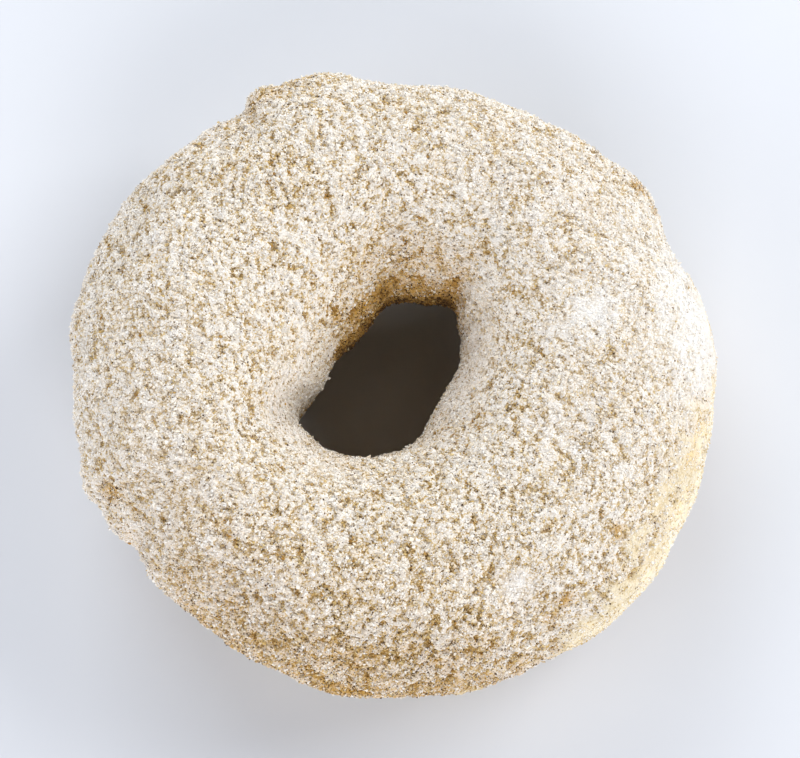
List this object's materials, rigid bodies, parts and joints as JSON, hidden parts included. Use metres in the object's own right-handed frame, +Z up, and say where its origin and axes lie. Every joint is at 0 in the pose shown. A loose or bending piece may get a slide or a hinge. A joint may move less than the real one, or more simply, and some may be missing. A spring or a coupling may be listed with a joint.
{
  "type": "crumb-coated ring doughnut",
  "caption": "Whole ring doughnut with a leaning oval hole and a thick, dry, pale crumb coat, lying on its flat underside.",
  "frame": {"origin": "on the standing surface, under the middle of the doughnut's box", "axes": "+Z up, through the hole; +Y the side away from the viewer, where the rim carries its tallest clump of crumbs; +X to the right, where the bare band of dough begins"},
  "size_m": [0.0952, 0.092, 0.0359],
  "materials": {
    "crumb_coat": "matte",
    "fried_dough": "matte"
  },
  "bodies": {
    "root": {"doughnut": "crumb_coat"}
  },
  "joints": []
}
